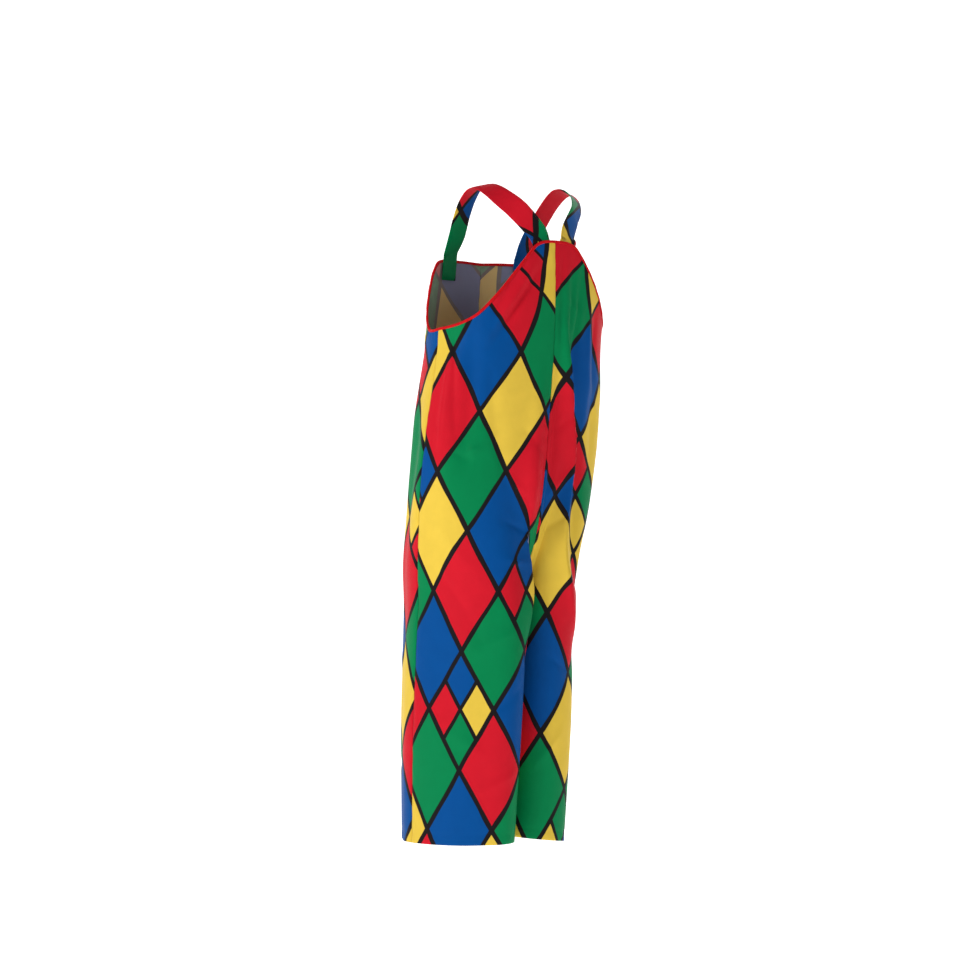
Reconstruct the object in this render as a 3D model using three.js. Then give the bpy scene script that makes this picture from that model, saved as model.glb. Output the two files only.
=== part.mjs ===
// Clown dungarees, hollow and as worn: four cloth panels, two shoulder straps and two edge bindings.
// Millimetres, +Z up. The origin lies midway between the straps where they cross the shoulders.
// +X is the garment's left side and +Y its back. A drop is a distance below the shoulders.
import * as THREE from "three";

// Driving sizes
const CLOTH = 1.6; // wall of a panel
const SEAM_GAP = 0.3; // between two pieces at a seam
const HEM_DROP = 1105; // lower end of the tables of the body and the legs
const CROTCH_DROP = 683;
const RISE = 260; // height over which the seat seam runs in between the legs
const SIDE_DROP = 240; // top of the side seams
const HEM_DEPTH = 17; // turned-up hem, where the wall is double
const HEM_FOLD = 1; // what the turned-up cloth adds to the wall
const STRAP_WIDTH = 37;
const STRAP_CLOTH = 2; // a strap is a flat tube of cloth
const BINDING_DEPTH = 3.6; // how far a binding reaches down the cloth
const BINDING_TAPE = 0.7;

// Mesh density
const ACROSS = 17; // cells across a panel
const ROWS_TOP = 9; // rows of cells from the upper edge to the chest
const ROWS_BODY = 12; // from the chest to the crotch
const ROWS_LEG = 11; // from the crotch to the hem
const CHEST_DROP = 283;
const COLUMN_BUNCHING = 1.25;
const STRAP_CELLS = 20; // along the free part of a strap
const STRAP_SHARES = [-0.5, -0.25, 0, 0.25, 0.5]; // places across a strap
const STRAP_MIDDLE = STRAP_SHARES.indexOf(0);

// Working sizes: how far round and down a slope is measured, and the reach of a middle seam.
const ROUND_STEP = 0.004;
const DROP_STEP = 1.5;
const SEAM_EDGE = 0.0003; // half a seam's gap, as a share of the way round
const SEAM_ZONE = 0.12;
const SEAM_POWER = 6; // how late the seat seam turns in between the legs
const SEAM_HOLD = 0.03; // the folds die away this near to a middle seam
const MIDDLE_CLEARANCE = SEAM_GAP / 2;
const FOLD_BEND = 2; // a slanting fold turns aside mostly in its lower part

// The body of the garment: the middle of each section (x, y), its turn in degrees, half widths of
// the left and right halves, depths of the back and the front, and how square the section is.
const BODY = [
  { drop: 87, x: 0, y: -22, turn: 3, left: 158, right: 182, back: 106, front: 92, square: 0.06 },
  { drop: 183, x: 0, y: -22, turn: 3, left: 166, right: 171, back: 107, front: 100, square: 0.05 },
  { drop: 263, x: 0, y: -23, turn: 3, left: 168, right: 165, back: 105, front: 108, square: 0.04 },
  { drop: 340, x: 3, y: -30, turn: 2, left: 173, right: 175, back: 106, front: 110, square: 0.03 },
  { drop: 401, x: 6, y: -38, turn: 1, left: 178, right: 181, back: 109, front: 110, square: 0.01 },
  { drop: 496, x: 11, y: -46, turn: 1, left: 178, right: 184, back: 110, front: 108, square: 0 },
  { drop: 564, x: 14, y: -50, turn: 1, left: 172, right: 184, back: 106, front: 104, square: 0.02 },
  { drop: 638, x: 17, y: -53, turn: 1, left: 166, right: 172, back: 104, front: 102, square: 0.04 },
  { drop: 767, x: 17, y: -50, turn: 2, left: 174, right: 168, back: 104, front: 106, square: 0.04 },
  { drop: 908, x: 20, y: -53, turn: 2, left: 174, right: 168, back: 104, front: 106, square: 0.04 },
  { drop: 1105, x: 25, y: -60, turn: 2, left: 174, right: 168, back: 104, front: 106, square: 0.04 },
];

// Each leg: how far it stands from the middle plane, its half width and half depth, and how far
// its inner side is set back and its outer side forward, because the legs turn outwards.
const LEFT_LEG = [
  { drop: 423, apart: 0, wide: 84, deep: 106, skew: 30 },
  { drop: 683, apart: 0, wide: 74, deep: 110, skew: 30 },
  { drop: 767, apart: 2, wide: 73.5, deep: 109, skew: 35 },
  { drop: 908, apart: 3, wide: 73.5, deep: 105, skew: 36 },
  { drop: 1105, apart: 4, wide: 69, deep: 96, skew: 36 },
];
const RIGHT_LEG = [
  { drop: 423, apart: 0, wide: 84, deep: 108, skew: 30 },
  { drop: 683, apart: 0, wide: 75, deep: 102, skew: 30 },
  { drop: 767, apart: 2, wide: 70, deep: 97, skew: 31 },
  { drop: 908, apart: 3, wide: 70, deep: 97, skew: 30 },
  { drop: 1105, apart: 4, wide: 68, deep: 94, skew: 30 },
];

// The drops of the hems at the inner and the outer side of each leg.
const HEMS = { left: { inner: 1101, outer: 1105 }, right: { inner: 1098, outer: 1115 } };

// The upper edges of the panels. "round" is the share of the way round a half of the garment: 0 is
// the middle of the back, 0.5 the side seam and 1 the middle of the front.
const BACK_EDGE = [
  { round: 0, drop: 92 },
  { round: 0.04, drop: 93 },
  { round: 0.065, drop: 96 },
  { round: 0.085, drop: 102 },
  { round: 0.11, drop: 116 },
  { round: 0.15, drop: 141 },
  { round: 0.21, drop: 178 },
  { round: 0.28, drop: 213 },
  { round: 0.34, drop: 228 },
  { round: 0.41, drop: 236 },
  { round: 0.5, drop: SIDE_DROP },
];
const FRONT_EDGE = [
  { round: 0.5, drop: SIDE_DROP },
  { round: 0.54, drop: 242 },
  { round: 0.59, drop: 239 },
  { round: 0.65, drop: 219 },
  { round: 0.7, drop: 182 },
  { round: 0.745, drop: 141 },
  { round: 0.79, drop: 120 },
  { round: 0.9, drop: 117 },
  { round: 1, drop: 119 },
];

// Folds of the cloth. "from" and "to" are where a fold lies round its half at its upper and lower
// ends, "span" is its half width there, and "lift" stands out from the plain form, or goes in
// where it is negative. A fold runs from the drop "top" to the drop "end" and fades in and out
// over "fade". Its "crest" is 2 where it is round and nearer 1 where it is sharp.
const FOLDS = [
  { half: "right", from: 0.045, to: 0.335, span: 0.03, lift: 16, top: 183, end: 790, fade: 150, crest: 1.2 },
  { half: "right", from: 0.087, to: 0.38, span: 0.03, lift: -9, top: 190, end: 760, fade: 120, crest: 2 },
  { half: "right", from: 0.02, to: 0.035, span: 0.02, lift: -7, top: 270, end: 720, fade: 120, crest: 2 },
  { half: "right", from: 0.3, to: 0.3, span: 0.06, lift: 6, top: 283, end: 1105, fade: 160, crest: 2 },
  { half: "right", from: 0.4, to: 0.38, span: 0.05, lift: -6, top: 313, end: 1105, fade: 160, crest: 2 },
  { half: "left", from: 0.045, to: 0.06, span: 0.03, lift: 6, top: 283, end: 623, fade: 120, crest: 2 },
  { half: "left", from: 0.3, to: 0.3, span: 0.04, lift: -5, top: 213, end: 503, fade: 100, crest: 1.8 },
  { half: "left", from: 0.38, to: 0.38, span: 0.05, lift: 5, top: 243, end: 683, fade: 160, crest: 2 },
  { half: "left", from: 0.06, to: 0.12, span: 0.05, lift: 21, top: 400, end: 800, fade: 140, crest: 2 },
  { half: "left", from: 0.3, to: 0.28, span: 0.05, lift: -4, top: 623, end: 1105, fade: 150, crest: 2 },
  { half: "left", from: 0.6, to: 0.6, span: 0.05, lift: -6, top: 283, end: 1105, fade: 160, crest: 2 },
  { half: "left", from: 0.7, to: 0.7, span: 0.05, lift: 5, top: 233, end: 1105, fade: 160, crest: 2 },
  { half: "left", from: 0.79, to: 0.8, span: 0.05, lift: -9, top: 203, end: 983, fade: 180, crest: 2 },
  { half: "left", from: 0.88, to: 0.86, span: 0.05, lift: 8, top: 153, end: 743, fade: 160, crest: 2 },
  { half: "right", from: 0.62, to: 0.61, span: 0.05, lift: 7, top: 273, end: 1105, fade: 160, crest: 2 },
  { half: "right", from: 0.72, to: 0.71, span: 0.05, lift: -8, top: 213, end: 983, fade: 180, crest: 2 },
  { half: "right", from: 0.81, to: 0.81, span: 0.05, lift: 8, top: 163, end: 1105, fade: 160, crest: 2 },
  { half: "right", from: 0.91, to: 0.88, span: 0.045, lift: -7, top: 213, end: 683, fade: 160, crest: 2 },
];

// The middle line of the left strap between its sewn ends, and the way its outer face looks.
const STRAP = [
  { x: 37, y: 73, z: -74, nx: 0.3, ny: 1, nz: 0.15 },
  { x: 62, y: 60, z: -43, nx: 0.54, ny: 0.84, nz: 0.12 },
  { x: 79, y: 43, z: -23, nx: 0.5, ny: 0.75, nz: 0.42 },
  { x: 88, y: 22, z: -7, nx: 0.42, ny: 0.48, nz: 0.8 },
  { x: 91, y: 0, z: 1, nx: 0.25, ny: 0, nz: 1 },
  { x: 92, y: -20, z: -3, nx: 0.2, ny: -0.45, nz: 1 },
  { x: 90, y: -42, z: -21, nx: 0.12, ny: -1, nz: 0.8 },
  { x: 86, y: -63, z: -48, nx: 0.08, ny: -1, nz: 0.55 },
  { x: 80, y: -84, z: -80, nx: 0.05, ny: -1, nz: 0.4 },
];

// The sewn ends of a strap, inside a panel: where its middle lies and how it leans, in degrees.
const STRAP_INSET = 3; // the strap's outer face below the panel's outer face
const STRAP_BACK = [
  { round: 0.0435, drop: 127, lean: 6 },
  { round: 0.045, drop: 115, lean: 12 },
  { round: 0.05, drop: 103, lean: 21 },
  { round: 0.058, drop: 91, lean: 30 },
];
const STRAP_FRONT = [
  { round: 0.845, drop: 109, lean: 0 },
  { round: 0.845, drop: 123, lean: 0 },
  { round: 0.845, drop: 137, lean: 0 },
  { round: 0.845, drop: 151, lean: 0 },
];

const radians = THREE.MathUtils.degToRad;
const lerp = THREE.MathUtils.lerp;
const clamp = THREE.MathUtils.clamp;
const easing = THREE.MathUtils.smoothstep;

// A smooth function through a table's rows, from its column "along" to its column "value".
function smooth(rows, along, value) {
  const last = rows.length - 1;
  const slopes = rows.map((_, i) => {
    const before = rows[Math.max(i - 1, 0)];
    const after = rows[Math.min(i + 1, last)];
    return (after[value] - before[value]) / (after[along] - before[along]);
  });
  return (at) => {
    const x = clamp(at, rows[0][along], rows[last][along]);
    let i = 0;
    while (i < last - 1 && x > rows[i + 1][along]) i += 1;
    const step = rows[i + 1][along] - rows[i][along];
    const t = (x - rows[i][along]) / step;
    const start = (1 + 2 * t) * (1 - t) * (1 - t) * rows[i][value];
    const end = t * t * (3 - 2 * t) * rows[i + 1][value];
    const bend = t * (1 - t) * step * ((1 - t) * slopes[i] - t * slopes[i + 1]);
    return start + end + bend;
  };
}

// One smooth function for each of a table's columns.
function columns(rows, names) {
  return Object.fromEntries(names.map((name) => [name, smooth(rows, "drop", name)]));
}

const BODY_COLUMNS = ["x", "y", "turn", "left", "right", "back", "front", "square"];
const LEG_COLUMNS = ["apart", "wide", "deep", "skew"];
const body = columns(BODY, BODY_COLUMNS);
const legs = { left: columns(LEFT_LEG, LEG_COLUMNS), right: columns(RIGHT_LEG, LEG_COLUMNS) };
const backEdge = smooth(BACK_EDGE, "round", "drop");
const frontEdge = smooth(FRONT_EDGE, "round", "drop");

// How far the folds lift the cloth from its plain form.
function foldHeight(half, round, drop) {
  let height = 0;
  for (const fold of FOLDS) {
    if (fold.half !== half) continue;
    const share = clamp((drop - fold.top) / (fold.end - fold.top), 0, 1);
    const path = lerp(fold.from, fold.to, share ** FOLD_BEND);
    const offset = Math.abs(round - path) / fold.span;
    const fadeIn = easing(drop, fold.top, fold.top + fold.fade);
    const fadeOut = fold.end >= HEM_DROP ? 1 : 1 - easing(drop, fold.end - fold.fade, fold.end);
    height += fold.lift * Math.exp(-(offset ** fold.crest)) * fadeIn * fadeOut;
  }
  return height * easing(Math.min(round, 1 - round), 0, SEAM_HOLD);
}

// A point of the outer face. In the half's own frame x runs outwards from the middle plane.
function outerPoint(half, round, drop) {
  const side = half === "left" ? 1 : -1;
  const angle = Math.PI * round;
  const square = 1 + body.square(drop) * Math.sin(2 * angle) ** 2;
  const depth = round < 0.5 ? body.back(drop) : body.front(drop);
  const lift = foldHeight(half, round, drop);
  let x = (body[half](drop) + lift) * Math.sin(angle) * square;
  let y = (depth + lift) * Math.cos(angle) * square;
  const share = clamp((drop - CROTCH_DROP + RISE) / RISE, 0, 1);
  if (share > 0) {
    const leg = legs[half];
    const lifted = lift * easing(Math.min(round, 1 - round), 0, SEAM_ZONE);
    const legX = leg.apart(drop) + leg.wide(drop) - (leg.wide(drop) + lifted) * Math.cos(2 * angle);
    const legY = (leg.deep(drop) + lifted) * Math.sin(2 * angle) + leg.skew(drop) * Math.cos(2 * angle);
    const gentle = share * share * (3 - 2 * share);
    const nearSeam = 1 - easing(Math.min(round, 1 - round), 0, SEAM_ZONE);
    const weight = lerp(gentle, share ** SEAM_POWER, nearSeam);
    x = lerp(x, Math.max(legX, MIDDLE_CLEARANCE), weight);
    y = lerp(y, legY, weight);
  }
  const turn = radians(body.turn(drop));
  return new THREE.Vector3(
    side * x * Math.cos(turn) + y * Math.sin(turn) + body.x(drop),
    y * Math.cos(turn) - side * x * Math.sin(turn) + body.y(drop),
    -drop,
  );
}

// The direction in which the outer face looks at a point.
function outwardAt(half, round, drop) {
  const before = Math.max(round - ROUND_STEP, 0);
  const after = Math.min(round + ROUND_STEP, 1);
  const across = outerPoint(half, after, drop).sub(outerPoint(half, before, drop));
  const down = outerPoint(half, round, drop + DROP_STEP).sub(outerPoint(half, round, drop - DROP_STEP));
  const outward = across.cross(down).multiplyScalar(half === "left" ? 1 : -1).normalize();
  const atMiddle = Math.min(round, 1 - round) < 2 * SEAM_EDGE;
  if (!atMiddle || drop > CROTCH_DROP) return outward;
  // The walls beside a middle seam stand in its plane, half turned out of it at the crotch.
  const turn = radians(body.turn(drop));
  const sideways = new THREE.Vector3(Math.cos(turn), -Math.sin(turn), 0);
  const keep = drop === CROTCH_DROP ? 0.5 : 1;
  return outward.addScaledVector(sideways, -keep * outward.dot(sideways)).normalize();
}

// A point at a depth below the outer face, or above it where the depth is negative.
function pointAt(half, round, drop, depth) {
  return outerPoint(half, round, drop).addScaledVector(outwardAt(half, round, drop), -depth);
}

// A closed piece of cloth between two grids of points of one size: its outer and inner faces.
function cloth(name, outer, inner, material) {
  const rows = outer.length;
  const wide = outer[0].length;
  const points = [...outer.flat(), ...inner.flat()];
  const at = (face, row, column) => face * rows * wide + row * wide + column;
  const quads = [];
  for (let row = 0; row + 1 < rows; row += 1) {
    for (let i = 0; i + 1 < wide; i += 1) {
      quads.push([at(0, row, i), at(0, row, i + 1), at(0, row + 1, i + 1), at(0, row + 1, i)]);
      quads.push([at(1, row, i), at(1, row + 1, i), at(1, row + 1, i + 1), at(1, row, i + 1)]);
    }
    const end = wide - 1;
    quads.push([at(0, row, 0), at(0, row + 1, 0), at(1, row + 1, 0), at(1, row, 0)]);
    quads.push([at(0, row, end), at(1, row, end), at(1, row + 1, end), at(0, row + 1, end)]);
  }
  for (let i = 0; i + 1 < wide; i += 1) {
    const end = rows - 1;
    quads.push([at(0, 0, i), at(1, 0, i), at(1, 0, i + 1), at(0, 0, i + 1)]);
    quads.push([at(0, end, i), at(0, end, i + 1), at(1, end, i + 1), at(1, end, i)]);
  }
  const triangles = quads.flatMap(([a, b, c, d]) => [a, b, c, a, c, d]);
  let volume = 0;
  for (let i = 0; i < triangles.length; i += 3) {
    const [a, b, c] = [0, 1, 2].map((corner) => points[triangles[i + corner]]);
    volume += a.dot(b.clone().cross(c));
  }
  if (volume < 0) triangles.reverse();
  const geometry = new THREE.BufferGeometry();
  const numbers = points.flatMap((point) => point.toArray());
  geometry.setAttribute("position", new THREE.Float32BufferAttribute(numbers, 3));
  geometry.setIndex(triangles);
  geometry.computeVertexNormals();
  const mesh = new THREE.Mesh(geometry, material);
  mesh.name = name;
  return mesh;
}

// The places of a panel's columns, closer together towards the middle seam.
function panelRounds(side) {
  const shares = Array.from({ length: ACROSS + 1 }, (_, i) => 0.5 * (i / ACROSS) ** COLUMN_BUNCHING);
  return shares.map((share) => {
    const inside = clamp(share, SEAM_EDGE, 0.5 - SEAM_EDGE);
    return side === "back" ? inside : 1 - inside;
  });
}

// The drop of the lower edge, from the inner to the outer side of a leg.
function hemDrop(half, round) {
  return lerp(HEMS[half].inner, HEMS[half].outer, 0.5 - 0.5 * Math.cos(2 * Math.PI * round));
}

// The drops of a panel's rows in one column, each with the wall's thickness there.
function panelRows(half, side, round) {
  const top = side === "back" ? backEdge(round) : frontEdge(round);
  const hemTop = hemDrop(half, round) - HEM_DEPTH;
  const rows = [];
  for (let i = 0; i < ROWS_TOP; i += 1) rows.push(lerp(top, CHEST_DROP, i / ROWS_TOP));
  for (let i = 0; i < ROWS_BODY; i += 1) rows.push(lerp(CHEST_DROP, CROTCH_DROP, i / ROWS_BODY));
  for (let i = 0; i < ROWS_LEG; i += 1) rows.push(lerp(CROTCH_DROP, hemTop, i / ROWS_LEG));
  const plainRows = [...rows, hemTop].map((drop) => ({ drop, wall: CLOTH }));
  const hemRows = [hemTop + HEM_FOLD, hemDrop(half, round)].map((drop) => ({ drop, wall: CLOTH + HEM_FOLD }));
  return [...plainRows, ...hemRows];
}

function panel(half, side, material) {
  const columnsOfRows = panelRounds(side).map((round) => (
    { round, rows: panelRows(half, side, round) }
  ));
  const rowCount = columnsOfRows[0].rows.length;
  const grid = (depthOf) => Array.from({ length: rowCount }, (_, row) => (
    columnsOfRows.map(({ round, rows }) => (
      pointAt(half, round, rows[row].drop, depthOf(rows[row]))
    ))
  ));
  return cloth(`${half}_${side}`, grid(() => 0), grid((row) => row.wall), material);
}

// A tape folded over the upper edges of two panels, from one side seam to the other.
function binding(side, material) {
  const rounds = panelRounds(side);
  const stations = [
    ...rounds.slice().reverse().map((round) => ({ half: "left", round })),
    ...rounds.map((round) => ({ half: "right", round })),
  ];
  const edges = stations.map(({ half, round }) => {
    const rows = panelRows(half, side, round);
    const edge = outerPoint(half, round, rows[0].drop);
    const inwards = outerPoint(half, round, rows[1].drop).sub(edge).normalize();
    return { edge, inwards, outward: outwardAt(half, round, rows[0].drop) };
  });
  const rings = edges.map(({ edge, inwards, outward }, i) => {
    const before = edges[Math.max(i - 1, 0)].edge;
    const after = edges[Math.min(i + 1, edges.length - 1)].edge;
    const along = after.clone().sub(before).normalize();
    const slant = along.cross(inwards).length();
    const at = (depth, reach) => edge.clone()
      .addScaledVector(outward, -depth)
      .addScaledVector(inwards, reach / slant);
    const ring = (space) => [
      at(-space, BINDING_DEPTH),
      at(-space, -space),
      at(CLOTH + space, -space),
      at(CLOTH + space, BINDING_DEPTH),
    ];
    return { outer: ring(SEAM_GAP + BINDING_TAPE), inner: ring(SEAM_GAP) };
  });
  return cloth(`${side}_binding`, rings.map((r) => r.outer), rings.map((r) => r.inner), material);
}

// The rows of a strap where it is sewn inside a panel: made from the panel's points, set inwards.
function sewnRows(half, rows) {
  const towardsSide = rows[0].round < 0.5 ? 1 : -1;
  return rows.map(({ round, drop, lean }) => {
    const near = outerPoint(half, round + ROUND_STEP, drop);
    const perRound = near.distanceTo(outerPoint(half, round - ROUND_STEP, drop)) / (2 * ROUND_STEP);
    const tilt = radians(lean);
    const face = (depth) => STRAP_SHARES.map((share) => {
      const across = share * STRAP_WIDTH;
      const spot = round + (towardsSide * across * Math.cos(tilt)) / perRound;
      return pointAt(half, spot, drop + across * Math.sin(tilt), depth);
    });
    return { outer: face(STRAP_INSET), inner: face(STRAP_INSET + STRAP_CLOTH) };
  });
}

function strap(half, material) {
  const side = half === "left" ? 1 : -1;
  const turn = radians(BODY[0].turn);
  const up = new THREE.Vector3(0, 0, 1);
  const backRows = sewnRows(half, STRAP_BACK);
  const frontRows = sewnRows(half, STRAP_FRONT);
  const middle = ({ outer, inner }) => outer[STRAP_MIDDLE].clone().lerp(inner[STRAP_MIDDLE], 0.5);
  const outwardOf = ({ outer, inner }) => outer[STRAP_MIDDLE].clone().sub(inner[STRAP_MIDDLE]).normalize();
  const free = STRAP.map((row) => ({
    place: new THREE.Vector3(side * row.x, row.y, row.z).applyAxisAngle(up, -turn),
    outward: new THREE.Vector3(side * row.nx, row.ny, row.nz).applyAxisAngle(up, -turn).normalize(),
  }));
  const backEnd = backRows[backRows.length - 1];
  const line = [
    { place: middle(backEnd), outward: outwardOf(backEnd) },
    ...free,
    { place: middle(frontRows[0]), outward: outwardOf(frontRows[0]) },
  ];
  const curve = new THREE.CatmullRomCurve3(line.map((row) => row.place));
  const rings = [...backRows];
  for (let i = 1; i < STRAP_CELLS; i += 1) {
    const share = i / STRAP_CELLS;
    const row = Math.min(Math.floor(share * (line.length - 1)), line.length - 2);
    const within = share * (line.length - 1) - row;
    const outward = line[row].outward.clone().lerp(line[row + 1].outward, within);
    const along = curve.getTangent(share);
    const across = outward.clone().cross(along).multiplyScalar(side).normalize();
    outward.copy(along).cross(across).multiplyScalar(side).normalize();
    const face = (depth) => STRAP_SHARES.map((place) => curve.getPoint(share)
      .addScaledVector(across, place * STRAP_WIDTH)
      .addScaledVector(outward, depth));
    rings.push({ outer: face(STRAP_CLOTH / 2), inner: face(-STRAP_CLOTH / 2) });
  }
  rings.push(...frontRows);
  return cloth(`${half}_strap`, rings.map((r) => r.outer), rings.map((r) => r.inner), material);
}

const printed = new THREE.MeshStandardMaterial({ color: 0xd93038, roughness: 0.6, side: THREE.DoubleSide });
const tape = new THREE.MeshStandardMaterial({ color: 0xb8101c, roughness: 0.55 });

const dungarees = new THREE.Group();
dungarees.name = "clown_dungarees";
dungarees.add(
  panel("left", "back", printed),
  panel("right", "back", printed),
  panel("left", "front", printed),
  panel("right", "front", printed),
  strap("left", printed),
  strap("right", printed),
  binding("back", tape),
  binding("front", tape),
);

export default dungarees;
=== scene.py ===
"""Clown dungarees: the printed cloth, its folds, seams, hems and stitches, on the frame's solids."""
import math

import bpy
import numpy as np
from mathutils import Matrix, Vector


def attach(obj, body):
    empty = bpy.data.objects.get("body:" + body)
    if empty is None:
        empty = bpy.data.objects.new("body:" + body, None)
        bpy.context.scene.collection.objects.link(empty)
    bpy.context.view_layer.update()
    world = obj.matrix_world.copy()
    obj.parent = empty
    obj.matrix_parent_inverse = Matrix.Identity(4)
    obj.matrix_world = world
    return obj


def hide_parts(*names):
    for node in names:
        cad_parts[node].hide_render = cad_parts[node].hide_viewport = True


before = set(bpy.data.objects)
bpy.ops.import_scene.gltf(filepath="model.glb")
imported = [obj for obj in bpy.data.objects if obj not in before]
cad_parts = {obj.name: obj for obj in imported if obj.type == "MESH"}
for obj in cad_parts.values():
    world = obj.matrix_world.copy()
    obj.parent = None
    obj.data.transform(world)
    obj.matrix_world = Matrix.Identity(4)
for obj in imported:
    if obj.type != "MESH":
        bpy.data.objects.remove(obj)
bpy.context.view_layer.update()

# Sizes in millimetres, as in the frame's own source. A drop is a distance below the shoulders, and a
# place round is a share of the way round a half: 0 is the middle of the back, 0.5 the side seam and
# 1 the middle of the front.
HEM_DROP = 1105  # lower end of the tables of the body and the legs
CROTCH_DROP = 683
RISE = 260  # height over which the seat seam runs in between the legs
SIDE_DROP = 240  # top of the side seams
HEM_DEPTH = 17  # turned-up hem
SEAM_EDGE = 0.0003  # half a seam's gap, as a share of the way round
SEAM_ZONE = 0.12  # reach of a middle seam
SEAM_POWER = 6  # how late the seat seam turns in between the legs
SEAM_HOLD = 0.03  # the folds die away this near to a middle seam
MIDDLE_CLEARANCE = 0.15
FOLD_BEND = 2  # a slanting fold turns aside mostly in its lower part
CLOTH = 1.0
HEM_EXTRA = 0.8  # what the turned-up cloth adds to the wall
STRAP_WIDTH = 37
STRAP_CLOTH = 2.0  # a strap is a flat tube of cloth
STRAP_INSET = 3.0  # a sewn strap's outer face below the panel's
BINDING_DEPTH = 3.6  # how far a binding reaches down the cloth

# Mesh density of the cloth, and the steps over which slopes are taken
ACROSS = 72
DOWN = 330
COLUMN_BUNCHING = 1.1  # above 1 the columns stand closer near the middle seam
STRAP_COLUMNS = 25
STRAP_CELLS = 110
BINDING_CELLS = 150
HEM_CELLS = 200
ROUND_STEP = 0.004
DROP_STEP = 1.5
STRAP_STEP = 0.002
CHEST_DROP = 283
UPPER_SHARE = 0.2  # share of the rows above the chest
ROUND_LENGTH = 550  # about the length once round a half

SIDES = {"left": 1, "right": -1}

# The body of the garment: the middle of each section (x, y), its turn in degrees, half widths of
# the left and right halves, depths of the back and the front, and how square the section is.
BODY = [
    # drop, x, y, turn, left, right, back, front, square
    (87, 0, -22, 3, 158, 182, 106, 92, 0.06),
    (183, 0, -22, 3, 166, 171, 107, 100, 0.05),
    (263, 0, -23, 3, 168, 165, 105, 108, 0.04),
    (340, 3, -30, 2, 173, 175, 106, 110, 0.03),
    (401, 6, -38, 1, 178, 181, 109, 110, 0.01),
    (496, 11, -46, 1, 178, 184, 110, 108, 0),
    (564, 14, -50, 1, 172, 184, 106, 104, 0.02),
    (638, 17, -53, 1, 166, 172, 104, 102, 0.04),
    (767, 17, -50, 2, 174, 168, 104, 106, 0.04),
    (908, 20, -53, 2, 174, 168, 104, 106, 0.04),
    (1105, 25, -60, 2, 174, 168, 104, 106, 0.04),
]
BODY_COLUMNS = ("x", "y", "turn", "left", "right", "back", "front", "square")
LEG_COLUMNS = ("apart", "wide", "deep", "skew")
# Each leg: how far it stands from the middle plane, its half width and half depth, and how far its
# inner side is set back and its outer side forward.
LEFT_LEG = [
    # drop, apart, wide, deep, skew
    (423, 0, 84, 106, 30),
    (683, 0, 74, 110, 30),
    (767, 2, 73.5, 109, 35),
    (908, 3, 73.5, 105, 36),
    (1105, 4, 69, 96, 36),
]
RIGHT_LEG = [
    # drop, apart, wide, deep, skew
    (423, 0, 84, 108, 30),
    (683, 0, 75, 102, 30),
    (767, 2, 70, 97, 31),
    (908, 3, 70, 97, 30),
    (1105, 4, 68, 94, 30),
]
# Hems: the drops at the inner and the outer side of each leg
HEMS = {"left": (1101, 1105), "right": (1098, 1115)}
# The upper edges of the panels: place round, drop
BACK_EDGE = [
    (0, 92), (0.04, 93), (0.065, 96), (0.085, 102), (0.11, 116), (0.15, 141), (0.21, 178),
    (0.28, 213), (0.34, 228), (0.41, 236), (0.5, SIDE_DROP),
]
FRONT_EDGE = [
    (0.5, SIDE_DROP), (0.54, 242), (0.59, 239), (0.65, 219), (0.7, 182), (0.745, 141),
    (0.79, 120), (0.9, 117), (1, 119),
]
# Folds of the frame's solids: half, from, to, span, height, top, end, fade, sharpness
FOLDS = [
    ("right", 0.045, 0.335, 0.03, 16, 183, 790, 150, 1.2),
    ("right", 0.087, 0.38, 0.03, -9, 190, 760, 120, 2),
    ("right", 0.02, 0.035, 0.02, -7, 270, 720, 120, 2),
    ("right", 0.3, 0.3, 0.06, 6, 283, 1105, 160, 2),
    ("right", 0.4, 0.38, 0.05, -6, 313, 1105, 160, 2),
    ("left", 0.045, 0.06, 0.03, 6, 283, 623, 120, 2),
    ("left", 0.3, 0.3, 0.04, -5, 213, 503, 100, 1.8),
    ("left", 0.38, 0.38, 0.05, 5, 243, 683, 160, 2),
    ("left", 0.06, 0.12, 0.05, 21, 400, 800, 140, 2),
    ("left", 0.3, 0.28, 0.05, -4, 623, 1105, 150, 2),
    ("left", 0.6, 0.6, 0.05, -6, 283, 1105, 160, 2),
    ("left", 0.7, 0.7, 0.05, 5, 233, 1105, 160, 2),
    ("left", 0.79, 0.8, 0.05, -9, 203, 983, 180, 2),
    ("left", 0.88, 0.86, 0.05, 8, 153, 743, 160, 2),
    ("right", 0.62, 0.61, 0.05, 7, 273, 1105, 160, 2),
    ("right", 0.72, 0.71, 0.05, -8, 213, 983, 180, 2),
    ("right", 0.81, 0.81, 0.05, 8, 163, 1105, 160, 2),
    ("right", 0.91, 0.88, 0.045, -7, 213, 683, 160, 2),
]
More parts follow.
